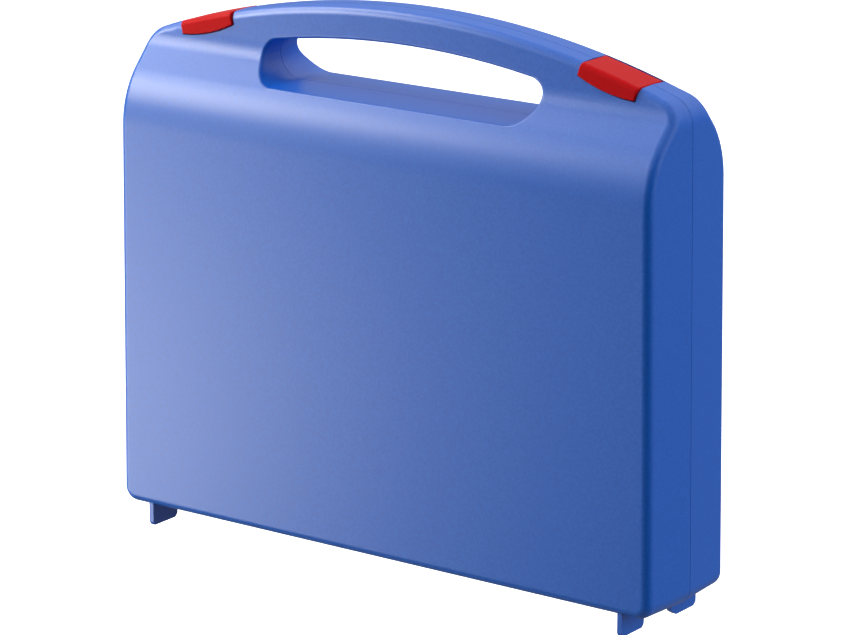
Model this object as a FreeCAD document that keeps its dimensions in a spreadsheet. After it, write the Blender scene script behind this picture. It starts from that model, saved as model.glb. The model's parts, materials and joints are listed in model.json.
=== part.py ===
import FreeCAD, Part
import math
import os
import Sketcher

# A moulded carrying case standing on blade feet, with a socket set in a foam insert inside it.
# Frame: +X to the right, front face towards -Y, +Z up; origin under the middle of the case, on the plane
# that the feet stand on. Millimetres.

V = FreeCAD.Vector
doc = FreeCAD.newDocument("socket_case")

# ---------------------------------------------------------------- driving dimensions
dims = doc.addObject("Spreadsheet::Sheet", "dims")
SIZES = [
    # case outline, measured on the parting plane
    ("case_half_w", 141.26), ("bottom_z", 8.74), ("arch_z", 245.5), ("arch_rad", 410.0),
    ("top_corner", 12.6), ("bottom_corner", 7.5), ("side_lean", 0.8),
    # depth of each half and mould draft
    ("part_y", 1.0), ("front_depth", 30.5), ("rear_depth", 28.5), ("draft_front", 2.0), ("draft_rear", 2.5),
    ("wall", 2.2), ("part_gap", 0.22), ("edge_round", 4.0),
    # ogee shoulder between the deep lower case and the thin upper section
    ("thin_front", 20.05), ("thin_rear", 15.7), ("ogee_z_front", 183.0), ("ogee_z_rear", 187.1),
    ("ogee_convex", 37.2), ("ogee_concave", 14.3), ("ogee_angle", 43.5),
    # hand hole, on the parting plane
    ("hole_half_w", 71.7), ("hole_floor", 207.6), ("hole_crown", 231.1), ("hole_arch", 399.0),
    ("hole_low_r", 11.0), ("hole_top_r", 7.0), ("hole_draft_front", 1.5), ("hole_draft_rear", 2.5),
    ("hole_edge", 1.6),
    # feet
    ("foot_h", 10.0), ("foot_thick", 2.3), ("front_foot_x", 125.15), ("rear_foot_x", 127.9),
    ("front_foot_len", 17.0), ("rear_foot_len", 19.2),
    # bottom hinge
    ("hinge_z", 4.9), ("hinge_rad", 3.4), ("hinge_pin_rad", 1.5), ("hinge_run", 0.05), ("hinge_x", 78.0),
    ("base_knuckle", 16.0), ("lid_knuckle", 11.0), ("knuckle_gap", 0.4),
    # latches
    ("latch_x", 104.8), ("latch_len", 28.6), ("latch_gap", 0.4), ("latch_lip", 5.9),
    ("latch_bulge", 1.6), ("latch_plate", 2.4), ("latch_front", -10.4), ("latch_lip_thick", 2.4),
    ("latch_pivot_y", 8.0), ("latch_pivot_w", 2.9), ("latch_barrel", 2.6), ("latch_pin_rad", 1.0), ("latch_run", 0.05),
    # rim lip of the rear half
    ("lip_high", 2.0), ("lip_thick", 1.2), ("lip_gap", 0.35),
    # foam
    ("foam_half_w", 135.0), ("foam_low", 14.0), ("foam_top", 187.0), ("foam_front", 3.3), ("foam_back", 27.3),
    ("foam_corner", 6.5), ("lidfoam_thick", 11.0), ("foam_play", 0.4),
    # ratchet
    ("rat_x", -96.0), ("rat_z", 166.0), ("rat_y", 5.8), ("head_rad", 17.0), ("head_thick", 13.0), ("pawl_off", 16.5),
    ("neck_rad", 11.5), ("shank_rad", 6.0), ("grip_rad", 12.0), ("grip_x", -12.0), ("grip_len", 112.0),
    ("gear_rad", 10.9), ("gear_root", 9.9), ("gear_teeth", 24.0), ("hub_rad", 8.0), ("drive_sq", 9.5),
    ("drive_len", 11.5), ("run_gap", 0.05),
    # sockets: square hole, lengths
    ("sock_sq", 9.7), ("sock_sq_deep", 11.0), ("sock_len", 26.0), ("sock_back", 26.9),
    ("ext_rad", 8.5), ("ext_shaft", 5.2), ("ext_y", 6.3),
    ("ext_long", 150.0), ("ext_short", 76.0), ("plug_rad", 10.6), ("plug_len", 65.0),
]
# across-flats size, outside diameter at the hex end, x and z of each socket in the insert
SOCKETS = [
    (22, 30.0, -107.0, 125.0), (21, 28.6, -65.0, 125.0), (19, 26.0, -24.0, 125.0), (18, 24.8, 15.0, 125.0),
    (17, 23.6, 53.0, 125.0), (16, 22.4, 90.0, 125.0),
    (15, 21.4, -110.0, 87.0), (14, 20.0, -77.0, 87.0), (13, 18.6, -45.0, 87.0), (12, 17.6, -14.0, 87.0),
    (11, 16.4, 16.0, 87.0), (10, 15.2, 46.0, 87.0), (9, 14.0, 76.0, 87.0), (8, 13.0, 106.0, 87.0),
]
for size, od, x, z in SOCKETS:
    SIZES += [("sock%d_af" % size, size + 0.15), ("sock%d_od" % size, od), ("sock%d_x" % size, x), ("sock%d_z" % size, z)]
for row, (alias, value) in enumerate(SIZES, start=1):
    dims.set("A%d" % row, alias)
    dims.set("B%d" % row, repr(float(value)))
    dims.setAlias("B%d" % row, alias)
doc.recompute()


def d(alias):
    return float(dims.get(alias))


FINAL = {}  # node name -> document object


def bind(obj, **exprs):
    for prop, expr in exprs.items():
        obj.setExpression(prop.replace("__", "."), expr)


def keep(obj, label):
    obj.Label = label
    FINAL[label] = obj
    return obj


# ---------------------------------------------------------------- sketches
XZ = FreeCAD.Rotation(V(1, 0, 0), 90)                      # sketch x -> X, y -> Z, normal -> -Y
YZ = FreeCAD.Rotation(0.5, 0.5, 0.5, 0.5)                  # sketch x -> Y, y -> Z, normal -> +X


def loop(name, placement, segs, radii=()):
    """A closed sketch of lines ("L", p, q) and arcs ("A", centre, radius, from_deg, to_deg), joined end to end.
    radii: (segment index, expression) pairs that bind an arc's radius to the sheet."""
    sk = doc.addObject("Sketcher::SketchObject", name)
    sk.Placement = placement
    ends = []
    for s in segs:
        if s[0] == "L":
            g = Part.LineSegment(V(s[1][0], s[1][1], 0), V(s[2][0], s[2][1], 0))
        else:
            c = Part.Circle(V(s[1][0], s[1][1], 0), V(0, 0, 1), s[2])
            g = Part.ArcOfCircle(c, math.radians(s[3]), math.radians(s[4]))
        sk.addGeometry(g, False)
        ends.append((g.StartPoint, g.EndPoint))
    n = len(segs)
    cons = []
    for i in range(n):
        j = (i + 1) % n
        best = min(((ends[i][a] - ends[j][b]).Length, a, b) for a in (0, 1) for b in (0, 1))
        assert best[0] < 1e-4, (name, i, best)
        cons.append(Sketcher.Constraint("Coincident", i, best[1] + 1, j, best[2] + 1))
    sk.addConstraint(cons)
    for i, expr in radii:
        k = sk.addConstraint(Sketcher.Constraint("Radius", i, segs[i][2]))
        sk.renameConstraint(k, "rad_%d" % i)
        sk.setExpression("Constraints.rad_%d" % i, expr)
    return sk


def case_segs(inset):
    """Outline of the case: straight bottom, sides leaning in by side_lean, corner rounds and the arched top."""
    hw, zb, za, R = d("case_half_w") - inset, d("bottom_z") + inset, d("arch_z") - inset, d("arch_rad") - inset
    rt, rb, lean = d("top_corner") - inset, d("bottom_corner") - inset, math.radians(d("side_lean"))
    ac = za - R
    c, s = math.cos(lean), math.sin(lean)
    xb, zlow = hw - rb, zb + rb
    xt = hw - rt
    for k in range(40):                                            # centre of the top corner round
        zc = ac + math.sqrt((R - rt) ** 2 - xt ** 2)
        xt = (c * xb + s * zlow + rb - rt - s * zc) / c
    zc = ac + math.sqrt((R - rt) ** 2 - xt ** 2)
    a0, a1 = d("side_lean"), math.degrees(math.atan2(zc - ac, xt))
    low, high = (xb + rb * c, zlow + rb * s), (xt + rt * c, zc + rt * s)
    segs = [
        ("L", (-xb, zb), (xb, zb)),
        ("A", (xb, zlow), rb, -90, a0),
        ("L", low, high),
        ("A", (xt, zc), rt, a0, a1),
        ("A", (0, ac), R, a1, 180 - a1),
        ("A", (-xt, zc), rt, 180 - a1, 180 - a0),
        ("L", (-high[0], high[1]), (-low[0], low[1])),
        ("A", (-xb, zlow), rb, 180 - a0, 270),
    ]
    return segs


def case_outline(name, inset, inset_expr, y):
    return loop(name, FreeCAD.Placement(V(0, y, 0), XZ), case_segs(inset),
                [(1, "dims.bottom_corner - %s" % inset_expr), (3, "dims.top_corner - %s" % inset_expr)])


def hole_segs(out):
    hh, zf, zh, R = d("hole_half_w") + out, d("hole_floor") - out, d("hole_crown") + out, d("hole_arch") + out
    rl, rt = d("hole_low_r") + out, d("hole_top_r") + out
    ac = zh - R
    zc = ac + math.sqrt((R - rt) ** 2 - (hh - rt) ** 2)
    a1 = math.degrees(math.atan2(zc - ac, hh - rt))
    segs = [
        ("L", (-(hh - rl), zf), (hh - rl, zf)),
        ("A", (hh - rl, zf + rl), rl, -90, 0),
        ("L", (hh, zf + rl), (hh, zc)),
        ("A", (hh - rt, zc), rt, 0, a1),
        ("A", (0, ac), R, a1, 180 - a1),
        ("A", (-(hh - rt), zc), rt, 180 - a1, 180),
        ("L", (-hh, zc), (-hh, zf + rl)),
        ("A", (-(hh - rl), zf + rl), rl, 180, 270),
    ]
    return segs


def drafted(name, segs, side, depth, draft, grow):
    """A solid between an outline on the parting plane and its offset at `depth`, with exact flat and conical walls.
    Arcs keep their centres and change radius; grow is +1 where the outline widens away from the parting plane."""
    t = grow * depth * math.tan(math.radians(draft))
    y0 = d("part_y")
    y1 = y0 + side * depth

    def at(p, y):
        return V(p[0], y, p[1])

    def on_arc(s, r, a):
        return (s[1][0] + r * math.cos(math.radians(a)), s[1][1] + r * math.sin(math.radians(a)))

    faces, rings = [], ([], [])
    for s in segs:
        if s[0] == "L":
            dx, dz = s[2][0] - s[1][0], s[2][1] - s[1][1]
            n = math.hypot(dx, dz)
            nx, nz = dz / n * t, -dx / n * t
            a0, b0 = s[1], s[2]
            a1, b1 = (a0[0] + nx, a0[1] + nz), (b0[0] + nx, b0[1] + nz)
            faces.append(Part.Face(Part.makePolygon([at(a0, y0), at(b0, y0), at(b1, y1), at(a1, y1), at(a0, y0)])))
            rings[0].append(Part.makeLine(at(a0, y0), at(b0, y0)))
            rings[1].append(Part.makeLine(at(a1, y1), at(b1, y1)))
        else:
            line = Part.makeLine(at(on_arc(s, s[2], s[3]), y0), at(on_arc(s, s[2] + t, s[3]), y1))
            faces.append(line.revolve(at(s[1], 0), V(0, -1, 0), s[4] - s[3]).Faces[0])
            for ring, y, r in ((rings[0], y0, s[2]), (rings[1], y1, s[2] + t)):
                ring.append(Part.Arc(*[at(on_arc(s, r, a), y) for a in (s[3], (s[3] + s[4]) / 2, s[4])]).toShape())
    for ring in rings:
        faces.append(Part.Face(Part.Wire(Part.__sortEdges__(ring))))
    skin = Part.makeShell(faces)
    skin.sewShape()
    solid = Part.makeSolid(skin)
    if solid.Volume < 0:
        solid.reverse()
    f = doc.addObject("Part::Feature", name)
    f.Shape = solid
    f.Placement = FreeCAD.Placement()
    return f


def ogee_profile(name, side, inset, inset_expr):
    """Side profile of one half: face, convex round, slope, concave round, thin section. side -1 front, +1 rear."""
    depth = d("front_depth") if side < 0 else d("rear_depth")
    thin = d("thin_front") if side < 0 else d("thin_rear")
    z0 = d("ogee_z_front") if side < 0 else d("ogee_z_rear")
    yp = d("part_y")
    r1, r2, ang = d("ogee_convex") - inset, d("ogee_concave") + inset, d("ogee_angle")
    # distances inward from the outer face
    face = inset
    a = math.radians(ang)
    p1 = (d("ogee_convex") - r1 * math.cos(a), z0 + r1 * math.sin(a))
    c2u = thin + inset - r2                                        # centre of the concave round
    p2u = c2u + r2 * math.cos(a)
    p2 = (p2u, p1[1] + (p2u - p1[0]) / math.tan(a))
    z1 = p2[1] + r2 * math.sin(a)
    Y = lambda u: yp + side * (depth - u)
    lo, hi = -20.0, 300.0
    if side < 0:
        arc1 = ("A", (Y(d("ogee_convex")), z0), r1, 180 - ang, 180)
        arc2 = ("A", (Y(c2u), z1), r2, -ang, 0)
    else:
        arc1 = ("A", (Y(d("ogee_convex")), z0), r1, 0, ang)
        arc2 = ("A", (Y(c2u), z1), r2, 180, 180 + ang)
    segs = [
        ("L", (yp, lo), (Y(face), lo)),
        ("L", (Y(face), lo), (Y(face), z0)),
        arc1,
        ("L", (Y(p1[0]), p1[1]), (Y(p2[0]), p2[1])),
        arc2,
        ("L", (Y(thin + inset), z1), (Y(thin + inset), hi)),
        ("L", (Y(thin + inset), hi), (yp, hi)),
        ("L", (yp, hi), (yp, lo)),
    ]
    return loop(name, FreeCAD.Placement(V(0, 0, 0), YZ), segs,
                [(2, "dims.ogee_convex - %s" % inset_expr), (4, "dims.ogee_concave + %s" % inset_expr)])


def extrude(name, sketch, direction, length_expr, symmetric=False):
    e = doc.addObject("Part::Extrusion", name)
    e.Base = sketch
    e.DirMode = "Custom"
    e.Dir = V(*direction)
    e.Solid = True
    e.Symmetric = symmetric
    e.setExpression("LengthFwd", length_expr)
    return e


def boolean(kind, name, *objs):
    """kind Cut takes (base, tool); Fuse and Common take any number."""
    if kind == "Cut":
        b = doc.addObject("Part::Cut", name)
        b.Base, b.Tool = objs
    else:
        b = doc.addObject("Part::MultiFuse" if kind == "Fuse" else "Part::MultiCommon", name)
        b.Shapes = list(objs)
    if hasattr(b, "Refine"):
        b.Refine = True
    return b


def fillet(name, base, pick, chamfer=False):
    """pick(edge) gives None or a radius, or a pair of radii."""
    doc.recompute()
    f = doc.addObject("Part::Chamfer" if chamfer else "Part::Fillet", name)
    f.Base = base
    rows = []
    for i, e in enumerate(base.Shape.Edges, start=1):
        r = pick(e)
        if r:
            r = r if isinstance(r, tuple) else (r, r)
            rows.append((i, r[0], r[1]))
    assert rows, name
    f.Edges = rows
    return f


def box(name, x, y, z, lx, ly, lz):
    """Corner and sizes; each is a number or an expression."""
    b = doc.addObject("Part::Box", name)
    for prop, val in (("Length", lx), ("Width", ly), ("Height", lz), ("Placement.Base.x", x),
                      ("Placement.Base.y", y), ("Placement.Base.z", z)):
        b.setExpression(prop, str(val))
    return b


ALONG = {"x": FreeCAD.Rotation(V(0, 1, 0), 90), "-x": FreeCAD.Rotation(V(0, 1, 0), -90),
         "y": FreeCAD.Rotation(V(1, 0, 0), -90), "-y": FreeCAD.Rotation(V(1, 0, 0), 90),
         "z": FreeCAD.Rotation()}


def place(obj, x, y, z, axis="z"):
    obj.Placement = FreeCAD.Placement(V(0, 0, 0), ALONG[axis])
    for prop, val in (("x", x), ("y", y), ("z", z)):
        obj.setExpression("Placement.Base." + prop, str(val))
    return obj


def cyl(name, x, y, z, axis, rad, length):
    c = doc.addObject("Part::Cylinder", name)
    c.setExpression("Radius", str(rad))
    c.setExpression("Height", str(length))
    return place(c, x, y, z, axis)


def cone(name, x, y, z, axis, r1, r2, length):
    c = doc.addObject("Part::Cone", name)
    c.setExpression("Radius1", str(r1))
    c.setExpression("Radius2", str(r2))
    c.setExpression("Height", str(length))
    return place(c, x, y, z, axis)


# ---------------------------------------------------------------- latch frames
def latch_place(side, v=0.0):
    """Placement of a latch sketch: x along the slope (outwards), y out of the top surface, at depth v."""
    a = d("latch_x") / d("arch_rad")
    x = d("latch_x")
    z = d("arch_z") - d("arch_rad") + math.sqrt(d("arch_rad") ** 2 - x ** 2)
    rot = FreeCAD.Rotation(V(0, 1, 0), math.degrees(math.asin(a)) * side)
    return FreeCAD.Placement(V(side * x, v, z), rot.multiply(XZ))


def latch_section(name, side, y, half, low, bulge, top):
    """Section of a latch or its channel: straight ends, lower edge bulging downwards, top at `top`."""
    # lower edge is an arc through (-half, -low), (0, -(low + bulge)), (half, -low)
    R = (half * half + bulge * bulge) / (2 * bulge)
    cz = -(low + bulge) + R
    a = math.degrees(math.atan2(-low - cz, half))
    segs = [
        ("A", (0, cz), R, -180 - a, a),
        ("L", (half, -low), (half, top)),
        ("L", (half, top), (-half, top)),
        ("L", (-half, top), (-half, -low)),
    ]
    return loop(name, latch_place(side, y), segs)


# ---------------------------------------------------------------- shells
def latch_channel(name, side, half_out, deep_out, y, direction, length_expr):
    half = d("latch_len") / 2 + half_out
    sk = latch_section(name + "_section", side, y, half, d("latch_lip") + deep_out, d("latch_bulge"), 14.0)
    return extrude(name, sk, direction, length_expr)


def blade(name, x_expr, pts):
    """A foot: a thin plate in the YZ plane with the given corners, foot_thick wide, centred on x."""
    segs = [("L", pts[i], pts[(i + 1) % len(pts)]) for i in range(len(pts))]
    sk = loop(name + "_shape", FreeCAD.Placement(V(0, 0, 0), YZ), segs)
    sk.setExpression("Placement.Base.x", x_expr)
    return extrude(name, sk, (1, 0, 0), "dims.foot_thick", symmetric=True)


def web(name, x0_expr, len_expr, pts):
    segs = [("L", pts[i], pts[(i + 1) % len(pts)]) for i in range(len(pts))]
    sk = loop(name + "_shape", FreeCAD.Placement(V(0, 0, 0), YZ), segs)
    sk.setExpression("Placement.Base.x", x0_expr)
    return extrude(name, sk, (1, 0, 0), len_expr)


def shell(side):
    tag = "front" if side < 0 else "rear"
    yp = d("part_y")
    dirn = (0, side, 0)
    # solid outside: drafted outline, cut to the side profile
    deep = d(tag + "_depth")
    o1 = drafted(tag + "_block", case_segs(0), side, deep, d("draft_" + tag), -1)
    o2 = extrude(tag + "_prism", ogee_profile(tag + "_profile", side, 0, "0"), (1, 0, 0), "400", symmetric=True)
    outer = boolean("Common", tag + "_solid", o1, o2)

    # one rounded edge runs all the way round the face
    def rim(e):
        bb = e.BoundBox
        if abs(bb.YMin - yp) < 1e-4 or abs(bb.YMax - yp) < 1e-4:
            return None
        if bb.XLength > 200 and bb.YLength < 1e-6 and bb.ZLength < 1e-6 and bb.ZMin > 100:
            return None
        return d("edge_round")

    rounded = fillet(tag + "_rounded", outer, rim)
    # hand hole
    hole = drafted(tag + "_hole", hole_segs(0), side, deep, d("hole_draft_" + tag), 1)
    holed = boolean("Cut", tag + "_holed", rounded, hole)

    def mouth(e):
        bb = e.BoundBox
        if abs(bb.YMin - yp) < 1e-4 or abs(bb.YMax - yp) < 1e-4:
            return None
        if bb.XMax < 82 and bb.XMin > -82 and bb.ZMin > 198 and bb.ZMax < 236:
            return d("hole_edge")
        return None

    soft = fillet(tag + "_hole_soft", holed, mouth)
    # hollow inside, leaving a wall round the hole and round the latch channels
    c1 = drafted(tag + "_hollow_block", case_segs(d("wall")), side, deep, d("draft_" + tag), -1)
    c2 = extrude(tag + "_hollow_prism", ogee_profile(tag + "_hollow_profile", side, d("wall"), "dims.wall"),
                 (1, 0, 0), "400", symmetric=True)
    cav = boolean("Common", tag + "_hollow_raw", c1, c2)
    hole_wall = drafted(tag + "_hole_wall", hole_segs(d("wall")), side, deep, d("hole_draft_" + tag), 1)
    far = "50" if side < 0 else "dims.latch_pivot_y + dims.latch_pivot_w + dims.latch_gap - dims.part_y"
    walls, channels = [hole_wall], []
    for s, word in ((-1, "left"), (1, "right")):
        walls.append(latch_channel("%s_channel_wall_%s" % (tag, word), s, d("latch_gap") + d("wall"),
                                   d("latch_gap") + d("wall"), yp, dirn, far + (" + dims.wall" if side > 0 else "")))
        channels.append(latch_channel("%s_channel_%s" % (tag, word), s, d("latch_gap"), d("latch_gap"), yp, dirn, far))
    hollow = boolean("Cut", tag + "_hollow", cav, boolean("Fuse", tag + "_inner_walls", *walls))
    thin = boolean("Cut", tag + "_thin", soft, hollow)
    opened = boolean("Cut", tag + "_opened", thin, boolean("Fuse", tag + "_channels", *channels))
    if side < 0:
        # fine gap along the parting line
        opened = boolean("Cut", tag + "_parted", opened, box("parting_slab", -200, "dims.part_y - dims.part_gap", -10, 400, 2, 300))
    # feet, hinge knuckles and their webs
    adds, bores = [], []
    hz, py = d("hinge_z"), yp
    yf, yr = yp - d("front_depth"), yp + d("rear_depth")
    for s, word in ((-1, "left"), (1, "right")):
        if side < 0:
            y0 = yf + 1.5
            y1 = y0 + d("front_foot_len")
            pts = [(y0, 11.4), (y0, 1.6), (y0 + 1.2, 0.0), (y1 - 1.6, 0.0), (y1, 1.4), (y1 + 0.8, 11.4)]
            adds.append(blade("front_foot_" + word, "%d * dims.front_foot_x" % s, pts))
        else:
            y0 = yp + 5.0
            y1 = y0 + d("rear_foot_len")
            pts = [(y0, 10.6), (y0, 2.4), (y0 + 4.0, 0.0), (y1 - 1.8, 0.0), (y1, 1.4), (y1 + 0.4, 11.6)]
            adds.append(blade("rear_foot_" + word, "%d * dims.rear_foot_x" % s, pts))
        cx = "%d * dims.hinge_x" % s
        spans = ([("_a", cx + " - dims.base_knuckle / 2 - dims.knuckle_gap - dims.lid_knuckle", "dims.lid_knuckle"),
                  ("_b", cx + " + dims.base_knuckle / 2 + dims.knuckle_gap", "dims.lid_knuckle")] if side < 0 else
                 [("_a", cx + " - dims.base_knuckle / 2", "dims.base_knuckle")])
        for letter, x0, ln in spans:
            nm = "%s_knuckle_%s%s" % (tag, word, letter)
            adds.append(cyl(nm, x0, "dims.part_y", "dims.hinge_z", "x", "dims.hinge_rad", ln))
            w = [(py + side * 0.3, 10.5), (py + side * 6.8, 10.5), (py + side * 3.4, hz), (py, hz)]
            adds.append(web(nm + "_web", x0, ln, w))
        bores.append(cyl("%s_hinge_bore_%s" % (tag, word), cx + " - 40", "dims.part_y", "dims.hinge_z", "x",
                         "dims.hinge_pin_rad + dims.hinge_run", "80"))
        if side > 0:
            bores.append(latch_pin("rear_latch_bore_" + word, s, d("latch_run"), 2.1))
    if side > 0:
        # rim lip that the front half closes over
        w, g, t, h = d("wall"), d("lip_gap"), d("lip_thick"), d("lip_high")
        a = extrude("lip_root_out", case_outline("lip_root_out_line", w - 0.3, "dims.wall + 0.3", yp), (0, 1, 0), "dims.lip_high")
        b = extrude("lip_root_in", case_outline("lip_root_in_line", w + g + t, "dims.wall - dims.lip_gap - dims.lip_thick", yp),
                    (0, 1, 0), "dims.lip_high")
        c = extrude("lip_out", case_outline("lip_out_line", w + g, "dims.wall - dims.lip_gap", yp), (0, -1, 0), "dims.lip_high")
        e = extrude("lip_in", case_outline("lip_in_line", w + g + t, "dims.wall - dims.lip_gap - dims.lip_thick", yp),
                    (0, -1, 0), "dims.lip_high")
        ring = boolean("Fuse", "lip_ring", boolean("Cut", "lip_root", a, b), boolean("Cut", "lip_edge", c, e))
        clear = []
        for s, word in ((-1, "left"), (1, "right")):
            k = latch_channel("lip_clear_" + word, s, d("latch_gap") + d("wall") + 0.5, d("latch_gap") + d("wall") + 0.5,
                              yp - 6, (0, 1, 0), "12")
            clear.append(k)
        adds.append(boolean("Cut", "rear_lip", ring, boolean("Fuse", "lip_clear", *clear)))
    whole = boolean("Fuse", tag + "_whole", opened, *adds)
    done = boolean("Cut", tag + "_shell", whole, boolean("Fuse", tag + "_bores", *bores))
    return keep(done, tag + "_shell")


def latch_pin(name, side, play, into):
    """A rod along a latch's pivot; `into` is how far it enters the pocket walls past the latch's end gap."""
    pl = latch_place(side, d("latch_pivot_y"))
    half = d("latch_len") / 2 + d("latch_gap") + into
    axis = pl.Rotation.multVec(V(1, 0, 0))
    base = pl.multVec(V(-half, -d("latch_pivot_w"), 0))
    c = doc.addObject("Part::Cylinder", name)
    c.setExpression("Radius", "dims.latch_pin_rad + %g" % play)
    c.setExpression("Height", "dims.latch_len + 2 * (dims.latch_gap + %g)" % into)
    c.Placement = FreeCAD.Placement(base, FreeCAD.Rotation(V(0, 0, 1), axis))
    return c


shell(-1)
shell(1)

# ---------------------------------------------------------------- latches
for s, word in ((-1, "left"), (1, "right")):
    half, low, bulge, R = d("latch_len") / 2, d("latch_lip"), d("latch_bulge"), d("arch_rad")
    rl = (half * half + bulge * bulge) / (2 * bulge)
    cz = -(low + bulge) + rl
    a = math.degrees(math.atan2(-low - cz, half))
    a2 = math.degrees(math.acos(half / R))
    ends = -R + R * math.sin(math.radians(a2))
    segs = [
        ("A", (0, cz), rl, -180 - a, a),
        ("L", (half, -low), (half, ends)),
        ("A", (0, -R), R, a2, 180 - a2),
        ("L", (-half, ends), (-half, -low)),
    ]
    nm = "latch_" + word
    sk = loop(nm + "_section", latch_place(s, d("latch_pivot_y")), segs)
    block = extrude(nm + "_block", sk, (0, -1, 0), "dims.latch_pivot_y - dims.latch_front")

    pl0 = latch_place(s, 0).inverse()

    def top_front(e):
        bb = e.BoundBox
        c = pl0.multVec(e.CenterOfMass)
        return 2.6 if bb.YMax < d("latch_front") + 1e-3 and bb.XLength > 20 and c.y > -2 else None

    def small_edges(e):
        c = pl0.multVec(e.CenterOfMass)
        on_end = all(abs(abs(pl0.multVec(v.Point).x) - half) < 1e-3 for v in e.Vertexes) and e.BoundBox.XLength < 12
        back = e.BoundBox.YMin > d("latch_pivot_y") - 1e-3
        low_front = e.BoundBox.YMax < d("latch_front") + 1e-3 and e.BoundBox.XLength > 20
        return 0.6 if (on_end and not back) or low_front else None

    soft = fillet(nm + "_soft", fillet(nm + "_front_round", block, top_front), small_edges)
    barrel = latch_pin(nm + "_barrel", s, 0.0, 0.0)
    barrel.setExpression("Radius", "dims.latch_barrel")
    barrel.setExpression("Height", "dims.latch_len")
    pl = latch_place(s, d("latch_pivot_y"))
    barrel.Placement.Base = pl.multVec(V(-half, -d("latch_pivot_w"), 0))
    joined = boolean("Fuse", nm + "_joined", soft, barrel)
    # hollow underside: end walls, the lip and the hinge barrel stay
    hol = doc.addObject("Part::Box", nm + "_underside")
    hol.setExpression("Length", "dims.latch_len - 2.8")
    hol.setExpression("Width", "20")
    hol.setExpression("Height", "dims.latch_pivot_y - dims.latch_barrel - 0.5 - dims.latch_front - dims.latch_lip_thick")
    # box axes: x along the latch, y out of the top, z towards the front
    hol.Placement = FreeCAD.Placement(
        latch_place(s, d("latch_pivot_y") - d("latch_barrel") - 0.5).multVec(V(-half + 1.4, -20 - d("latch_plate"), 0)),
        latch_place(s, 0).Rotation)
    low_cut = doc.addObject("Part::Box", nm + "_low_cut")
    low_cut.setExpression("Length", "dims.latch_len + 10")
    low_cut.setExpression("Width", "20")
    low_cut.setExpression("Height", "12 - dims.latch_front - dims.latch_lip_thick")
    low_cut.Placement = FreeCAD.Placement(
        latch_place(s, 12).multVec(V(-half - 5, -20 - d("latch_pivot_w") - d("latch_barrel") - 0.1, 0)), latch_place(s, 0).Rotation)
    bore = latch_pin(nm + "_bore", s, d("latch_run"), 5.0)
    tools = boolean("Fuse", nm + "_cuts", hol, low_cut, bore)
    keep(boolean("Cut", nm, joined, tools), nm)
    pin = latch_pin("latch_pin_" + word, s, 0.0, 2.0)
    keep(pin, "latch_pin_" + word)
    hp = cyl("hinge_pin_" + word,
             "%d * dims.hinge_x - dims.base_knuckle / 2 - dims.knuckle_gap - dims.lid_knuckle" % s, "dims.part_y", "dims.hinge_z", "x",
             "dims.hinge_pin_rad", "dims.base_knuckle + 2 * (dims.knuckle_gap + dims.lid_knuckle)")
    keep(hp, "hinge_pin_" + word)

# ---------------------------------------------------------------- foam
pockets = []                                                # what is cut from the insert


def pocket(obj):
    pockets.append(obj)
    return obj


fb = box("insert_block", "-dims.foam_half_w", "dims.foam_front", "dims.foam_low", "2 * dims.foam_half_w",
         "dims.foam_back - dims.foam_front", "dims.foam_top - dims.foam_low")
insert_round = fillet("insert_round", fb, lambda e: d("foam_corner") if e.BoundBox.YLength > 5 else None)
lf = box("lid_foam_block", "-dims.foam_half_w + 2", "dims.part_y - dims.front_depth + dims.wall", "dims.foam_low + 2",
         "2 * dims.foam_half_w - 4", "dims.lidfoam_thick", "dims.foam_top - dims.foam_low - 10")
keep(fillet("lid_foam_round", lf, lambda e: d("foam_corner") if e.BoundBox.YLength > 5 else None), "lid_foam")

# ---------------------------------------------------------------- sockets, standing on their drive ends
def hexagon(name, x, y, z, af_expr, deep, turn):
    p = doc.addObject("Part::Prism", name)
    p.Polygon = 6
    p.setExpression("Circumradius", "%s / 2 / cos(30 deg)" % af_expr)
    p.setExpression("Height", str(deep))
    p.Placement = FreeCAD.Placement(V(0, 0, 0), ALONG["y"].multiply(FreeCAD.Rotation(V(0, 0, 1), turn)))
    for k, val in (("x", x), ("y", y), ("z", z)):
        p.setExpression("Placement.Base." + k, str(val))
    return p


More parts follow.
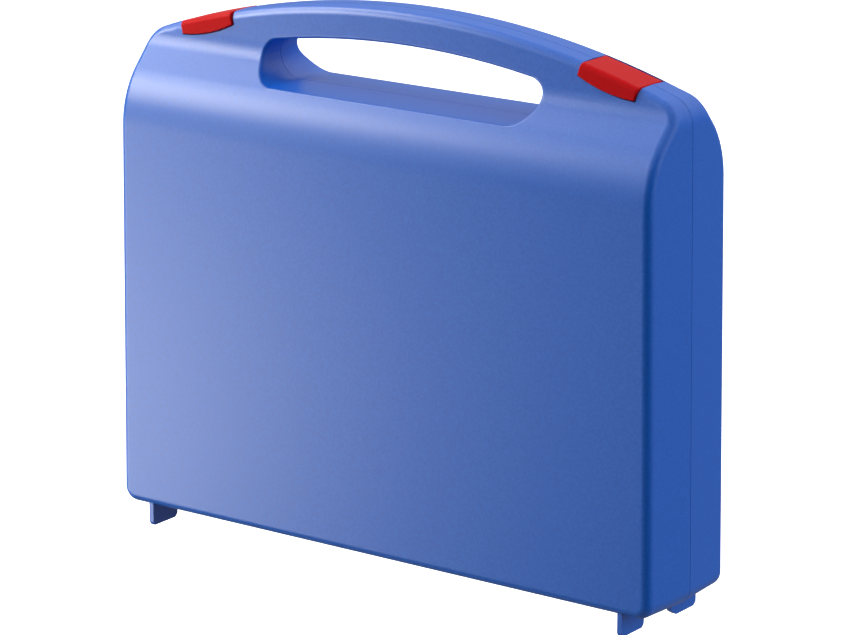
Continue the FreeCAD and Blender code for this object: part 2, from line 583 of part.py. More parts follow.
for size, od, sx, sz in SOCKETS:
    nm = "socket_%02dmm" % size
    X, Z, OD, AF = ("dims.sock%d_%s" % (size, k) for k in ("x", "z", "od", "af"))
    drive_r = 8.6 if size <= 15 else 11.0                     # radius at the drive end
    y_front = "dims.sock_back - dims.sock_len"
    hex_r = "%s / 2" % OD
    hex_deep = 9.0 if size <= 12 else 11.5
    nose = 11.0
    mid = 3.0
    parts = [cyl(nm + "_nose", X, y_front, Z, "y", hex_r, nose),
             cone(nm + "_slope", X, y_front + " + %g" % nose, Z, "y", hex_r, drive_r, mid),
             cyl(nm + "_drive", X, y_front + " + %g" % (nose + mid), Z, "y", drive_r, "dims.sock_len - %g" % (nose + mid))]
    body = boolean("Fuse", nm + "_body", *parts)
    yb, yfv = d("sock_back"), d("sock_back") - d("sock_len")

    def ends(e):
        bb = e.BoundBox
        if bb.YLength < 1e-6 and (abs(bb.YMin - yb) < 1e-4 or abs(bb.YMin - yfv) < 1e-4):
            return 0.9
        return None

    soft = fillet(nm + "_soft", body, ends)
    cuts = [hexagon(nm + "_hex_a", X, y_front + " - 1", Z, AF, hex_deep + 1, 0),
            hexagon(nm + "_hex_b", X, y_front + " - 1", Z, AF, hex_deep + 1, 30),
            cone(nm + "_lead", X, y_front + " - 0.01", Z, "y", AF + " * 0.577 + 0.9", AF + " * 0.577 - 0.6", 1.5),
            box(nm + "_square", X + " - dims.sock_sq / 2", "dims.sock_back - dims.sock_sq_deep", Z + " - dims.sock_sq / 2",
                "dims.sock_sq", "dims.sock_sq_deep + 1", "dims.sock_sq"),
            cyl(nm + "_through", X, y_front + " + 5", Z, "y", 3.2, 15)]
    g = doc.addObject("Part::Torus", nm + "_groove")
    g.setExpression("Radius1", "%g + 0.45" % drive_r)
    g.setExpression("Radius2", "0.9")
    place(g, X, "dims.sock_back - 6", Z, "y")
    cuts.append(g)
    keep(boolean("Cut", nm, soft, boolean("Fuse", nm + "_cuts", *cuts)), nm)
    rr = max(od / 2, drive_r)
    pocket(cyl(nm + "_pocket", X, "dims.foam_front - 1", Z, "y", "%g + dims.foam_play" % rr, "dims.sock_back - dims.foam_front + 1"))

# ---------------------------------------------------------------- extension bars, lying in the insert
def extension(nm, x0, z, length_alias):
    L = "dims." + length_alias
    Y = "dims.ext_y"
    hub = 20.0
    parts = [cyl(nm + "_hub", x0, Y, z, "x", "dims.ext_rad", hub),
             cone(nm + "_taper", "%g + %g" % (x0, hub), Y, z, "x", "dims.ext_rad", "dims.ext_shaft", 5),
             cyl(nm + "_shaft", "%g + %g" % (x0, hub + 5), Y, z, "x", "dims.ext_shaft", L + " - %g" % (hub + 5 + 16)),
             cone(nm + "_swell", "%g + %s - 16" % (x0, L), Y, z, "x", "dims.ext_shaft", "dims.drive_sq * 0.68", 3),
             cyl(nm + "_collar", "%g + %s - 13" % (x0, L), Y, z, "x", "dims.drive_sq * 0.68", 3),
             box(nm + "_tang", "%g + %s - 10.5" % (x0, L), Y + " - dims.drive_sq / 2", "%g - dims.drive_sq / 2" % z, 10.5,
                 "dims.drive_sq", "dims.drive_sq")]
    body = boolean("Fuse", nm + "_body", *parts)
    lx = x0 + d(length_alias)

    def ends(e):
        bb = e.BoundBox
        if abs(bb.XMax - x0) < 1e-4 and bb.YLength > 10:
            return 1.0
        if bb.XMin > lx - 1e-4:
            return 0.8
        return None

    soft = fillet(nm + "_soft", body, ends)
    hole = box(nm + "_socket", x0 - 1, Y + " - dims.sock_sq / 2", "%g - dims.sock_sq / 2" % z, 13.0, "dims.sock_sq", "dims.sock_sq")
    seat = cyl(nm + "_ball_seat", "%g + %s - 5" % (x0, L), Y + " - dims.drive_sq / 2 + 2.6", z, "-y", 1.62, 6)
    groove = doc.addObject("Part::Torus", nm + "_ring")
    groove.setExpression("Radius1", "dims.ext_rad + 0.4")
    groove.setExpression("Radius2", "0.9")
    place(groove, x0 + 15, Y, z, "x")
    keep(boolean("Cut", nm, soft, boolean("Fuse", nm + "_cuts", hole, seat, groove)), nm)
    ball = doc.addObject("Part::Sphere", nm + "_ball")
    ball.setExpression("Radius", "1.55")
    place(ball, "%g + %s - 5" % (x0, L), Y + " - dims.drive_sq / 2 + 0.8", z)
    keep(ball, nm + "_ball")
    fy = "dims.foam_front - 1"
    pocket(cyl(nm + "_pocket_a", x0 - 0.6, Y, z, "x", "dims.ext_rad + dims.foam_play", hub + 6.5))
    pocket(box(nm + "_pocket_b", x0 - 0.6, fy, "%g - dims.ext_rad - dims.foam_play" % z, hub + 6.5, Y + " - dims.foam_front + 1",
               "2 * (dims.ext_rad + dims.foam_play)"))
    pocket(box(nm + "_pocket_c", x0 + hub, fy, "%g - 7.2" % z, L + " - %g + 0.6" % hub, Y + " - dims.foam_front + 8.2", 14.4))


extension("extension_long", -118.0, 54.0, "ext_long")
extension("extension_short", -118.0, 29.0, "ext_short")

# spark-plug sockets: a long hexagon tube with a rubber sleeve in it
for nm, x0, z, rad, af in (("spark_plug_socket_16mm", -22.0, 29.0, 10.6, 16.15), ("spark_plug_socket_21mm", 50.0, 43.0, 13.6, 21.15)):
    Y = "dims.ext_y + 1"
    L = "dims.plug_len"
    body = boolean("Fuse", nm + "_body", cyl(nm + "_tube", x0, Y, z, "x", rad, L + " - 18"),
                   cone(nm + "_slope", "%g + %s - 18" % (x0, L), Y, z, "x", rad, 8.6, 4),
                   cyl(nm + "_drive", "%g + %s - 14" % (x0, L), Y, z, "x", 8.6, 14))
    lx = x0 + d("plug_len")
    soft = fillet(nm + "_soft", body, lambda e: 1.0 if e.BoundBox.XLength < 1e-6 and (
        abs(e.BoundBox.XMin - x0) < 1e-4 or abs(e.BoundBox.XMin - lx) < 1e-4) else None)
    h = doc.addObject("Part::Prism", nm + "_hex")
    h.Polygon = 6
    h.setExpression("Circumradius", "%g / 2 / cos(30 deg)" % af)
    h.setExpression("Height", "16")
    place(h, x0 - 1, Y, z, "x")
    well = cyl(nm + "_well", x0 + 14, Y, z, "x", af / 2 - 0.4, L + " - 32")
    sq = box(nm + "_square", "%g + %s - 12" % (x0, L), Y + " - dims.sock_sq / 2", "%g - dims.sock_sq / 2" % z, 13,
             "dims.sock_sq", "dims.sock_sq")
    thr = cyl(nm + "_through", x0 + 20, Y, z, "x", 3.2, 35)
    ring = doc.addObject("Part::Torus", nm + "_ring")
    ring.setExpression("Radius1", "9.0")
    ring.setExpression("Radius2", "0.9")
    place(ring, "%g + %s - 6" % (x0, L), Y, z, "x")
    keep(boolean("Cut", nm, soft, boolean("Fuse", nm + "_cuts", h, well, sq, thr, ring)), nm)
    sleeve = boolean("Cut", nm + "_sleeve_cut", cyl(nm + "_sleeve_out", x0 + 17, Y, z, "x", af / 2 - 0.5, 20),
                     cyl(nm + "_sleeve_in", x0 + 16, Y, z, "x", af / 2 - 3.2, 22))
    keep(sleeve, "plug_sleeve_%dmm" % int(af))
    pocket(cyl(nm + "_pocket_a", x0 - 0.6, Y, z, "x", rad + 0.4, L + " + 1.2"))
    pocket(box(nm + "_pocket_b", x0 - 0.6, "dims.foam_front - 1", "%g" % (z - rad - 0.4), L + " + 1.2",
               Y + " - dims.foam_front + 1", 2 * (rad + 0.4)))

# ---------------------------------------------------------------- ratchet, lying in the insert, drive side to the back
RX, RZ, RY = "dims.rat_x", "dims.rat_z", "dims.rat_y"
front_y = "dims.rat_y - dims.head_thick / 2"                 # cover side of the head
px = "dims.rat_x + dims.pawl_off"                            # axis of the pawl and the reversing lever
rx, rz, ry, fy = d("rat_x"), d("rat_z"), d("rat_y"), d("rat_y") - d("head_thick") / 2
pxv = rx + d("pawl_off")

head = cyl("head_round", RX, front_y, RZ, "y", "dims.head_rad", "dims.head_thick")
neck = cyl("head_neck", px, front_y, RZ, "y", "dims.neck_rad", "dims.head_thick")
# flanks of the pear-shaped head
R1, R2, off = d("head_rad"), d("neck_rad"), d("pawl_off")
ca = math.acos((R1 - R2) / off)
pts = [(rx + R1 * math.cos(ca), rz + R1 * math.sin(ca)), (pxv + R2 * math.cos(ca), rz + R2 * math.sin(ca)),
       (pxv + R2 * math.cos(ca), rz - R2 * math.sin(ca)), (rx + R1 * math.cos(ca), rz - R1 * math.sin(ca))]
flank = extrude("head_flank", loop("head_flank_shape", FreeCAD.Placement(V(0, fy, 0), XZ),
                                   [("L", pts[i], pts[(i + 1) % 4]) for i in range(4)]), (0, 1, 0), "dims.head_thick")
pear = boolean("Fuse", "head_pear", head, neck, flank)
pear_soft = fillet("head_soft", pear, lambda e: 1.6 if e.BoundBox.YLength < 1e-6 else None)
throat = cone("shank_throat", px + " + 6", RY, RZ, "x", "dims.shank_rad + 0.4", "dims.shank_rad", 16)
shank = cyl("shank", px + " + 8", RY, RZ, "x", "dims.shank_rad", "dims.grip_x + dims.grip_len - 8 - (%s + 8)" % px)
solid = boolean("Fuse", "ratchet_solid", pear_soft, throat, shank)
chamber = [
    cyl("gear_chamber", RX, front_y + " + 1.6", RZ, "y", "dims.gear_rad + 0.4", 9.6),
    cyl("hub_bore", RX, front_y + " + 10", RZ, "y", "dims.hub_rad + dims.run_gap", 10),
    cyl("pawl_chamber", px, front_y + " + 1.6", RZ, "y", 7.0, 9.6),
    cyl("cover_seat_a", RX, front_y + " - 1", RZ, "y", 14.1, 2.6),
    cyl("cover_seat_b", px, front_y + " - 1", RZ, "y", 9.1, 2.6),
]
screw_at = [(rx + 12.4 * math.cos(math.radians(t)), rz + 12.4 * math.sin(math.radians(t))) for t in (105, 180, 255)]
for i, (x, z) in enumerate(screw_at):
    chamber.append(cyl("screw_hole_%d" % i, x, front_y, z, "y", 0.95, 7))
chamber.append(cyl("pawl_pin_hole", px, front_y + " + 5", RZ, "y", 1.5, 7))
keep(boolean("Cut", "ratchet_body", solid, boolean("Fuse", "ratchet_cuts", *chamber)), "ratchet_body")

# cover plate over gear and pawl
plate = boolean("Fuse", "cover_plate", cyl("cover_a", RX, front_y, RZ, "y", 14.0, 1.5), cyl("cover_b", px, front_y, RZ, "y", 9.0, 1.5))
plate_soft = fillet("cover_soft", plate, lambda e: 0.4 if abs(e.BoundBox.YMax - fy) < 1e-4 and e.BoundBox.YLength < 1e-6 else None)
cov_cuts = [cyl("cover_hole", RX, front_y + " - 1", RZ, "y", 5.4, 4),
            cyl("cover_lever_hole", px, front_y + " - 1", RZ, "y", "2.6 + dims.run_gap", 4)]
for i, (x, z) in enumerate(screw_at):
    cov_cuts.append(cyl("cover_screw_hole_%d" % i, x, front_y + " - 1", z, "y", 1.05, 4))
keep(boolean("Cut", "ratchet_cover", plate_soft, boolean("Fuse", "cover_cuts", *cov_cuts)), "ratchet_cover")

# cover screws: low round heads with a cross slot
screws = []
for i, (x, z) in enumerate(screw_at):
    hd = cyl("screw_head_%d" % i, x, front_y + " - 0.9", z, "y", 1.7, 0.9)
    hd_soft = fillet("screw_head_soft_%d" % i, hd, lambda e: 0.45 if abs(e.BoundBox.YMax - (fy - 0.9)) < 1e-4 else None)
    st = cyl("screw_stem_%d" % i, x, front_y + " - 0.01", z, "y", 0.9, 6.0)
    sl = boolean("Fuse", "screw_slot_%d" % i, box("slot_a_%d" % i, x - 1.1, front_y + " - 1.2", z - 0.2, 2.2, 0.75, 0.4),
                 box("slot_b_%d" % i, x - 0.2, front_y + " - 1.2", z - 1.1, 0.4, 0.75, 2.2))
    screws.append(boolean("Cut", "cover_screw_%d" % i, boolean("Fuse", "screw_whole_%d" % i, hd_soft, st), sl))
group = doc.addObject("Part::Compound", "cover_screw_group")
group.Links = screws
keep(group, "cover_screws")

# toothed drive gear with hub, square drive and the bore of the release button
n = int(d("gear_teeth"))
pts = []
for k in range(n):
    for r, off_a in ((d("gear_root"), -0.30), (d("gear_rad"), -0.14), (d("gear_rad"), 0.14), (d("gear_root"), 0.30)):
        a = 2 * math.pi * (k + off_a) / n
        pts.append((rx + r * math.cos(a), rz + r * math.sin(a)))
gsk = loop("gear_teeth_shape", FreeCAD.Placement(V(0, fy + 1.9, 0), XZ), [("L", pts[i], pts[(i + 1) % len(pts)]) for i in range(len(pts))])
gear = extrude("gear_teeth_ring", gsk, (0, 1, 0), "8.9")
hub = cyl("gear_hub", RX, front_y + " + 10.8", RZ, "y", "dims.hub_rad", "dims.head_thick - 10.8")
sq = box("drive_square", RX + " - dims.drive_sq / 2", front_y + " + dims.head_thick", RZ + " - dims.drive_sq / 2", "dims.drive_sq",
         "dims.drive_len", "dims.drive_sq")
sq_end = ry + d("head_thick") / 2 + d("drive_len")
sq_soft = fillet("drive_square_soft", sq, lambda e: 0.8 if e.BoundBox.YMin > sq_end - 1e-4 else None)
gcuts = [cyl("button_bore", RX, front_y, RZ, "y", "2.0 + dims.run_gap", "dims.head_thick + dims.drive_len - 3"),
         cyl("button_well", RX, front_y, RZ, "y", 4.6, 5.6),
         cyl("ball_hole", RX, "dims.rat_y + dims.head_thick / 2 + 6", RZ, "z", 1.62, 9)]
keep(boolean("Cut", "drive_gear", boolean("Fuse", "drive_gear_solid", gear, hub, sq_soft), boolean("Fuse", "gear_cuts", *gcuts)),
     "drive_gear")
ball = doc.addObject("Part::Sphere", "drive_ball_sphere")
ball.setExpression("Radius", "1.55")
place(ball, RX, "dims.rat_y + dims.head_thick / 2 + 6", RZ + " + dims.drive_sq / 2 - 0.8")
keep(ball, "drive_ball")

# quick-release button in the middle of the gear
bh = cyl("button_head", RX, front_y + " - 1.0", RZ, "y", 4.2, 3.4)
bh_soft = fillet("button_head_soft", bh, lambda e: 0.7 if abs(e.BoundBox.YMax - (fy - 1.0)) < 1e-4 else None)
bs = cyl("button_stem", RX, front_y + " + 2", RZ, "y", 2.0, 10)
keep(boolean("Fuse", "release_button", bh_soft, bs), "release_button")

# pawl on its pin, cut back to clear the gear
pw = boolean("Cut", "pawl_block", cyl("pawl_round", px, front_y + " + 2.2", RZ, "y", 5.6, 8.2), boolean(
    "Fuse", "pawl_cuts", cyl("pawl_gear_relief", RX, front_y, RZ, "y", "dims.gear_rad + 1.2", 14),
    cyl("pawl_bore", px, front_y, RZ, "y", "1.5 + dims.run_gap", 14)))
keep(pw, "pawl")
keep(cyl("pawl_pin", px, front_y + " + 2.6", RZ, "y", 1.5, 9.0), "pawl_pin")
# bent leaf spring behind the pawl
leaf = boolean("Cut", "pawl_leaf", cyl("leaf_out", px, front_y + " + 3.5", RZ, "y", 7.0, 5.5),
               boolean("Fuse", "leaf_cuts", cyl("leaf_in", px, front_y + " + 3", RZ, "y", 6.4, 7),
                       box("leaf_off", px + " - 10", front_y + " + 3", RZ + " - 10", 13.5, 7, 20)))
keep(leaf, "pawl_spring")

# reversing lever on the cover, its tail towards the handle
lv = boolean("Fuse", "lever_plate", cyl("lever_disc", px, front_y + " - 3.2", RZ, "y", 5.4, 2.8),
             box("lever_tail", px, front_y + " - 3.2", RZ + " - 2.6", 13.0, 2.8, 5.2))
lv_soft = fillet("lever_soft", lv, lambda e: 0.7 if (abs(e.BoundBox.YMax - (fy - 3.2)) < 1e-4 and e.BoundBox.YLength < 1e-6) or (
    e.BoundBox.YLength > 1 and e.BoundBox.XMin > pxv + 12) else None)
stem = cyl("lever_stem", px, front_y + " - 1", RZ, "y", 2.6, 2.9)
keep(boolean("Fuse", "reversing_lever", lv_soft, stem), "reversing_lever")

# grip: a waisted sleeve on the shank
g0 = d("grip_x")
gp = [cyl("grip_front", "dims.grip_x", RY, RZ, "x", "dims.grip_rad - 2", 14),
      cone("grip_swell", "dims.grip_x + 14", RY, RZ, "x", "dims.grip_rad - 2", "dims.grip_rad", 26),
      cyl("grip_mid", "dims.grip_x + 40", RY, RZ, "x", "dims.grip_rad", "dims.grip_len - 58"),
      cone("grip_tail", "dims.grip_x + dims.grip_len - 18", RY, RZ, "x", "dims.grip_rad", "dims.grip_rad - 2.5", 18)]
grip = boolean("Fuse", "grip_solid", *gp)
gend = g0 + d("grip_len")
grip_soft = fillet("grip_soft", grip, lambda e: (3.5 if e.BoundBox.XMin > gend - 1e-4 else 1.5) if e.BoundBox.XLength < 1e-6 and (
    abs(e.BoundBox.XMin - g0) < 1e-4 or e.BoundBox.XMin > gend - 1e-4) else None)
rings = []
for k in range(9):
    t = doc.addObject("Part::Torus", "grip_ring_%d" % k)
    t.setExpression("Radius1", "dims.grip_rad + 0.7")
    t.setExpression("Radius2", "1.3")
    place(t, "dims.grip_x + 44 + %g" % (5.5 * k), RY, RZ, "x")
    rings.append(t)
rings.append(cyl("grip_bore", "dims.grip_x - 1", RY, RZ, "x", "dims.shank_rad + 0.05", "dims.grip_len - 6.5"))
keep(boolean("Cut", "ratchet_grip", grip_soft, boolean("Fuse", "grip_cuts", *rings)), "ratchet_grip")

# room for the ratchet in the insert
pocket(cyl("rat_pocket_head", RX, "dims.foam_front - 1", RZ, "y", "dims.head_rad + 0.8", "dims.rat_y + dims.head_thick / 2 - dims.foam_front + 1.4"))
pocket(cyl("rat_pocket_neck", px, "dims.foam_front - 1", RZ, "y", "dims.neck_rad + 3.5", "dims.rat_y + dims.head_thick / 2 - dims.foam_front + 1.4"))
pocket(box("rat_pocket_flank", RX, "dims.foam_front - 1", RZ + " - dims.head_rad - 0.4", "dims.pawl_off", "dims.rat_y + dims.head_thick / 2 - dims.foam_front + 1.4",
           "2 * dims.head_rad + 0.8"))
pocket(cyl("rat_pocket_drive", RX, "dims.foam_front - 1", RZ, "y", 9.5, "dims.rat_y + dims.head_thick / 2 + dims.drive_len - dims.foam_front + 2"))
pocket(box("rat_pocket_shank", px, "dims.foam_front - 1", RZ + " - 9", "dims.grip_x - (%s) + 2" % px, "dims.rat_y + 7 - dims.foam_front + 1", 18))
pocket(cyl("rat_pocket_grip", "dims.grip_x - 1", RY, RZ, "x", "dims.grip_rad + dims.foam_play", "dims.grip_len + 2"))
pocket(box("rat_pocket_mouth", "dims.grip_x - 1", "dims.foam_front - 1", RZ + " - dims.grip_rad - dims.foam_play", "dims.grip_len + 2",
           "dims.rat_y - dims.foam_front + 1", "2 * (dims.grip_rad + dims.foam_play)"))
# finger hollows
pocket(cyl("finger_grip", 40.0, "dims.foam_front - 1", RZ + " - 14", "y", 11.0, 13))
pocket(cyl("finger_ext_a", -50.0, "dims.foam_front - 1", 54.0, "y", 10.5, 13))
pocket(cyl("finger_ext_b", -72.0, "dims.foam_front - 1", 29.0, "y", 10.0, 13))
keep(boolean("Cut", "foam_insert", insert_round, boolean("Fuse", "insert_pockets", *pockets)), "foam_insert")

# ---------------------------------------------------------------- checks and files
doc.recompute()
for o in doc.Objects:
    if "Invalid" in o.State or "Error" in o.State:
        raise RuntimeError("%s is %s" % (o.Name, o.State))
for label, o in FINAL.items():
    if o.Shape.isNull() or not o.Shape.isValid() or not o.Shape.Solids:
        raise RuntimeError("%s has no valid solid" % label)
os.makedirs("parts", exist_ok=True)
for label, o in FINAL.items():
    o.Shape.exportStep(os.path.join("parts", label + ".step"))
    print(label, len(o.Shape.Solids), round(o.Shape.Volume, 1))
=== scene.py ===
import bpy
import json
import math
import numpy as np
from mathutils import Matrix, Vector


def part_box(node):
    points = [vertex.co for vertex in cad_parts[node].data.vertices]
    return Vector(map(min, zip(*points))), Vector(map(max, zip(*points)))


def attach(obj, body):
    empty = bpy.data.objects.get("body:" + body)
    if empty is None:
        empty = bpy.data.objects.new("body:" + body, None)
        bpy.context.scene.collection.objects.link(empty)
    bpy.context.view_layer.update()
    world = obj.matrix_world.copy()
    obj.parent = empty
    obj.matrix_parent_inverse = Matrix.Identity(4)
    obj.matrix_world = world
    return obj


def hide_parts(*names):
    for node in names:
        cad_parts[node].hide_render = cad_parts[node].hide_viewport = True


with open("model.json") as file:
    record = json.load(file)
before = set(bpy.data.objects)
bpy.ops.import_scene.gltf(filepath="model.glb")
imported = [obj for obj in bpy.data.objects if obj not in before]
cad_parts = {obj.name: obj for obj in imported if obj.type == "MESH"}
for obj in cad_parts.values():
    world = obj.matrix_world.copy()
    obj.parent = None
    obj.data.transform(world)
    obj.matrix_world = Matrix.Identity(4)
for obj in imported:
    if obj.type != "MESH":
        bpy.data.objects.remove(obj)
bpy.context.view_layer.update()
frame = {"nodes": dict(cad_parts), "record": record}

nodes = frame["nodes"]
scene = bpy.context.scene
scene.view_settings.view_transform = "Standard"
scene.view_settings.look = "None"
scene.view_settings.exposure = 0.0
scene.view_settings.gamma = 1.0


# ------------------------------------------------------------------ materials
def material(name):
    m = bpy.data.materials.new(name)
    m.use_nodes = True
    nt = m.node_tree
    return m, nt, nt.nodes["Principled BSDF"]


def noise(nt, scale, detail=2.0, rough=0.5):
    tc = nt.nodes.new("ShaderNodeTexCoord")
    n = nt.nodes.new("ShaderNodeTexNoise")
    n.inputs["Scale"].default_value = scale
    n.inputs["Detail"].default_value = detail
    n.inputs["Roughness"].default_value = rough
    nt.links.new(tc.outputs["Object"], n.inputs["Vector"])
    return n


def bump(nt, bsdf, height, strength, distance):
    b = nt.nodes.new("ShaderNodeBump")
    b.inputs["Strength"].default_value = strength
    b.inputs["Distance"].default_value = distance
    nt.links.new(height, b.inputs["Height"])
    nt.links.new(b.outputs["Normal"], bsdf.inputs["Normal"])
    return b


def ramp(nt, fac, stops):
    r = nt.nodes.new("ShaderNodeValToRGB")
    el = r.color_ramp.elements
    while len(el) < len(stops):
        el.new(0.5)
    for e, (pos, col) in zip(el, stops):
        e.position = pos
        e.color = col
    nt.links.new(fac, r.inputs["Fac"])
    return r


def blue_plastic():
    m, nt, b = material("case_blue")
    grain = noise(nt, 1000.0, 2.0, 0.5)
    col = ramp(nt, grain.outputs["Fac"], [(0.3, (0.004, 0.105, 0.586, 1)), (0.7, (0.005, 0.137, 0.666, 1))])
    nt.links.new(col.outputs["Color"], b.inputs["Base Color"])
    rough = ramp(nt, grain.outputs["Fac"], [(0.3, (0.30, 0.30, 0.30, 1)), (0.7, (0.37, 0.37, 0.37, 1))])
    nt.links.new(rough.outputs["Color"], b.inputs["Roughness"])
    b.inputs["Specular IOR Level"].default_value = 0.9
    bump(nt, b, grain.outputs["Fac"], 0.30, 0.00008)
    return m


def red_plastic():
    m, nt, b = material("latch_red")
    grain = noise(nt, 900.0, 2.0, 0.5)
    b.inputs["Base Color"].default_value = (0.56, 0.006, 0.009, 1)
    b.inputs["Roughness"].default_value = 0.34
    b.inputs["Specular IOR Level"].default_value = 0.06
    bump(nt, b, grain.outputs["Fac"], 0.15, 0.0001)
    return m


def chrome():
    m, nt, b = material("tool_chrome")
    fine = noise(nt, 220.0, 3.0, 0.6)
    r = ramp(nt, fine.outputs["Fac"], [(0.25, (0.10, 0.10, 0.10, 1)), (0.75, (0.19, 0.19, 0.19, 1))])
    nt.links.new(r.outputs["Color"], b.inputs["Roughness"])
    b.inputs["Base Color"].default_value = (0.80, 0.81, 0.83, 1)
    b.inputs["Metallic"].default_value = 1.0
    return m


def steel(name, colour, roughness):
    m, nt, b = material(name)
    fine = noise(nt, 600.0, 2.0, 0.5)
    b.inputs["Base Color"].default_value = colour
    b.inputs["Metallic"].default_value = 1.0
    b.inputs["Roughness"].default_value = roughness
    bump(nt, b, fine.outputs["Fac"], 0.1, 0.00005)
    return m


def foam(name, dark, light):
    m, nt, b = material(name)
    cells = noise(nt, 900.0, 3.0, 0.7)
    col = ramp(nt, cells.outputs["Fac"], [(0.3, dark), (0.7, light)])
    nt.links.new(col.outputs["Color"], b.inputs["Base Color"])
    b.inputs["Roughness"].default_value = 0.95
    b.inputs["Specular IOR Level"].default_value = 0.2
    bump(nt, b, cells.outputs["Fac"], 0.6, 0.0004)
    return m


def rubber(name, colour):
    m, nt, b = material(name)
    grain = noise(nt, 1200.0, 2.0, 0.5)
    b.inputs["Base Color"].default_value = colour
    b.inputs["Roughness"].default_value = 0.6
    bump(nt, b, grain.outputs["Fac"], 0.25, 0.0001)
    return m


MATS = {
    "case_blue": blue_plastic(),
    "latch_red": red_plastic(),
    "tool_chrome": chrome(),
    "satin_steel": steel("satin_steel", (0.50, 0.51, 0.52, 1), 0.32),
    "pin_steel": steel("pin_steel", (0.60, 0.60, 0.61, 1), 0.28),
    "insert_foam_black": foam("insert_foam_black", (0.012, 0.012, 0.014, 1), (0.032, 0.032, 0.036, 1)),
    "lid_foam_grey": foam("lid_foam_grey", (0.035, 0.036, 0.040, 1), (0.075, 0.077, 0.083, 1)),
    "sleeve_rubber": rubber("sleeve_rubber", (0.015, 0.015, 0.016, 1)),
    "grip_rubber": rubber("grip_rubber", (0.020, 0.020, 0.022, 1)),
}
slots = {s["node"]: s["material_slot"] for s in frame["record"]["subparts"]}
for name, ob in nodes.items():
    ob.data.materials.clear()
    ob.data.materials.append(MATS[slots[name]])


def smooth_normals(ob, angle):
    """Shade across the joins of tangent faces: each corner's normal is the area-weighted mean of the triangles round
    its point that lie within `angle` of its own. The points stay where they are."""
    me = ob.data
    co = np.empty(len(me.vertices) * 3, np.float32)
    me.vertices.foreach_get("co", co)
    co = co.reshape(-1, 3).astype(float)
    lv = np.empty(len(me.loops), np.int32)
    me.loops.foreach_get("vertex_index", lv)
    p = co[lv.reshape(-1, 3)]
    cr = np.cross(p[:, 1] - p[:, 0], p[:, 2] - p[:, 0])
    area = np.linalg.norm(cr, axis=1)
    n = cr / np.maximum(area, 1e-20)[:, None]
    _, weld = np.unique(np.round(co / 2e-6).astype(np.int64), axis=0, return_inverse=True)
    wl = weld.ravel()[lv]
    order = np.argsort(wl, kind="stable")
    cuts = np.flatnonzero(np.diff(wl[order])) + 1
    res = np.zeros((len(lv), 3))
    limit = math.cos(angle)
    for idx in np.split(order, cuts):
        f = idx // 3
        nn = n[f]
        w = (nn @ nn.T > limit) * area[f][None, :]
        v = w @ nn
        ln = np.linalg.norm(v, axis=1)
        bad = ln < 1e-15
        v[bad], ln[bad] = nn[bad], 1.0
        res[idx] = v / ln[:, None]
    me.polygons.foreach_set("use_smooth", np.ones(len(me.polygons), bool))
    me.normals_split_custom_set(res.tolist())


for ob in nodes.values():
    smooth_normals(ob, math.radians(32))


# ------------------------------------------------------------------ egg-crate foam in the lid
def egg_crate():
    lo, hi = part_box("lid_foam")
    cx, cz = (lo.x + hi.x) / 2, (lo.z + hi.z) / 2
    hw, hh, rc = (hi.x - lo.x) / 2, (hi.z - lo.z) / 2, 0.0065
    nx, nz = 176, 108
    px, pz = 2 * hw / 11.0, 2 * hh / 7.0
    verts, faces = [], []

    def half(z):
        dz = hh - abs(z)
        return hw if dz >= rc else hw - (rc - math.sqrt(max(rc * rc - (rc - dz) ** 2, 0.0)))

    for layer in (0, 1):
        for j in range(nz + 1):
            # rows close up towards the rounded corners
            t = j / nz * 2 - 1
            z = hh * (t if abs(t) < 1 else math.copysign(1, t))
            w = half(z)
            for i in range(nx + 1):
                x = w * (i / nx * 2 - 1)
                if layer == 0:
                    y = lo.y
                else:
                    wave = 0.5 + 0.5 * math.cos(2 * math.pi * x / px) * math.cos(2 * math.pi * z / pz)
                    y = hi.y - 0.0066 * (1 - wave * wave * (3 - 2 * wave))
                verts.append((cx + x, y, cz + z))
    row = nx + 1
    top = row * (nz + 1)
    for j in range(nz):
        for i in range(nx):
            a = j * row + i
            faces.append((a, a + 1, a + row + 1, a + row))
            b = top + a
            faces.append((b, b + row, b + row + 1, b + 1))
    for i in range(nx):
        a, b = i, nz * row + i
        faces.append((a, top + a, top + a + 1, a + 1))
        faces.append((b, b + 1, top + b + 1, top + b))
    for j in range(nz):
        a, b = j * row, j * row + nx
        faces.append((a, a + row, top + a + row, top + a))
        faces.append((b, top + b, top + b + row, b + row))
    me = bpy.data.meshes.new("lid_foam_pad")
    me.from_pydata(verts, [], faces)
    me.update()
    for p in me.polygons:
        p.use_smooth = True
    me.set_sharp_from_angle(angle=math.radians(50))
    ob = bpy.data.objects.new("lid_foam_pad", me)
    scene.collection.objects.link(ob)
    me.materials.append(MATS["lid_foam_grey"])
    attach(ob, "lid")
    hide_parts("lid_foam")
    return ob


egg_crate()

# ------------------------------------------------------------------ floor, light, camera
fm, fnt, fb = material("floor_white")
fb.inputs["Base Color"].default_value = (0.88, 0.88, 0.88, 1)
fb.inputs["Roughness"].default_value = 1.0
fb.inputs["Specular IOR Level"].default_value = 0.0
fb.inputs["Emission Color"].default_value = (1.0, 1.0, 1.0, 1)
fb.inputs["Emission Strength"].default_value = 0.94
fme = bpy.data.meshes.new("floor")
fme.from_pydata([(-8, -8, -0.13), (8, -8, -0.13), (8, 8, -0.13), (-8, 8, -0.13)], [], [(0, 1, 2, 3)])
floor = bpy.data.objects.new("floor", fme)
scene.collection.objects.link(floor)
fme.materials.append(fm)
floor.visible_diffuse = False
floor.visible_glossy = False
floor.visible_shadow = False

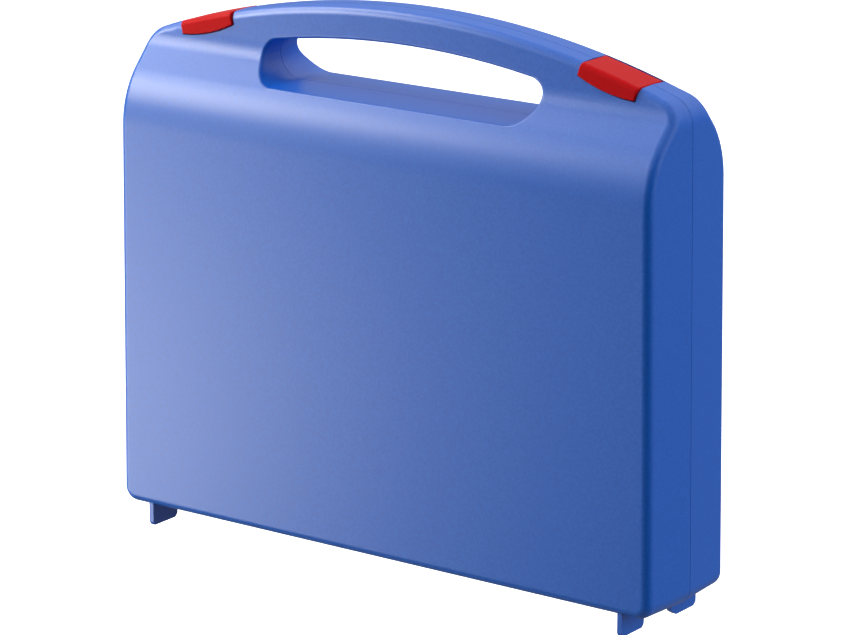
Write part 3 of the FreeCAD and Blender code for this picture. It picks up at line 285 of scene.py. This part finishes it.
world = bpy.data.worlds.new("studio")
world.use_nodes = True
wnt = world.node_tree
bg = wnt.nodes["Background"]
wtc = wnt.nodes.new("ShaderNodeTexCoord")
wsep = wnt.nodes.new("ShaderNodeSeparateXYZ")
wnt.links.new(wtc.outputs["Generated"], wsep.inputs["Vector"])
wramp = ramp(wnt, wsep.outputs["Z"], [(0.0, (0.22, 0.22, 0.22, 1)), (0.5, (0.72, 0.72, 0.72, 1))])
# the studio is darker towards the front right
wdot = wnt.nodes.new("ShaderNodeVectorMath")
wdot.operation = "DOT_PRODUCT"
wdot.inputs[1].default_value = (0.70, -0.70, 0.10)
wnt.links.new(wtc.outputs["Generated"], wdot.inputs[0])
wdark = ramp(wnt, wdot.outputs["Value"], [(0.38, (1.0, 1.0, 1.0, 1)), (0.90, (0.12, 0.12, 0.12, 1))])
wmul = wnt.nodes.new("ShaderNodeVectorMath")
wmul.operation = "MULTIPLY"
wnt.links.new(wramp.outputs["Color"], wmul.inputs[0])
wnt.links.new(wdark.outputs["Color"], wmul.inputs[1])
wnt.links.new(wmul.outputs["Vector"], bg.inputs["Color"])
bg.inputs["Strength"].default_value = 1.0
scene.world = world


def area(name, az, el, dist, sx, sy, watts, tint=(1.0, 1.0, 1.0), aim=(0.0, 0.0, 0.12)):
    """A soft box at azimuth and elevation round the aim, in degrees."""
    l = bpy.data.lights.new(name, "AREA")
    l.shape = "RECTANGLE"
    l.size, l.size_y = sx, sy
    l.energy = watts
    l.color = tint
    o = bpy.data.objects.new(name, l)
    scene.collection.objects.link(o)
    a, e = math.radians(az), math.radians(el)
    d = Vector((math.sin(a) * math.cos(e), -math.cos(a) * math.cos(e), math.sin(e)))
    o.location = Vector(aim) + d * dist
    o.rotation_euler = (-d).to_track_quat("-Z", "Y").to_euler()
    return o


WARM = (1.0, 0.94, 0.79)
area("low_panel", -59, -14, 0.62, 0.34, 0.34, 1.14, WARM)
area("low_front", -47, -23, 0.80, 0.34, 0.34, 0.56, WARM)
area("mid_panel", -45, 9, 0.816, 0.30, 0.30, 0.46, WARM)
area("left_panel", -51, 28, 0.935, 0.30, 0.30, 2.27, WARM)
area("soft_left", -62, 35, 1.6, 0.5, 0.5, 5.2)
area("top_left", -90, 50, 1.0, 0.4, 0.4, 2.70, WARM)
side_fill = area("soft_right", 106, 14, 2.0, 1.5, 1.5, 17.5)
side_fill.visible_glossy = False
back_fill = area("soft_back", 165, 35, 2.0, 1.5, 1.5, 9.0)
back_fill.visible_glossy = False
front_fill = area("soft_front", -15, 20, 2.0, 1.5, 1.5, 2.6)
front_fill.visible_glossy = False

AZ, EL, DIST, FPX = math.radians(35.81), math.radians(15.53), 1.71696, 4011.29
out = Vector((math.sin(AZ) * math.cos(EL), -math.cos(AZ) * math.cos(EL), math.sin(EL)))
right = Vector((math.cos(AZ), math.sin(AZ), 0.0))
up = right.cross(-out)
cam = bpy.data.cameras.new("camera")
cam.sensor_fit = "HORIZONTAL"
cam.sensor_width = 36.0
cam.lens = FPX / 847.0 * 36.0
cam_ob = bpy.data.objects.new("camera", cam)
scene.collection.objects.link(cam_ob)
pos = Vector((0, -0.0027, 0.123)) + right * 0.00574 + up * (-0.0112) + out * DIST
cam_ob.matrix_world = Matrix((
    (right.x, up.x, out.x, pos.x),
    (right.y, up.y, out.y, pos.y),
    (right.z, up.z, out.z, pos.z),
    (0, 0, 0, 1)))
scene.camera = cam_ob
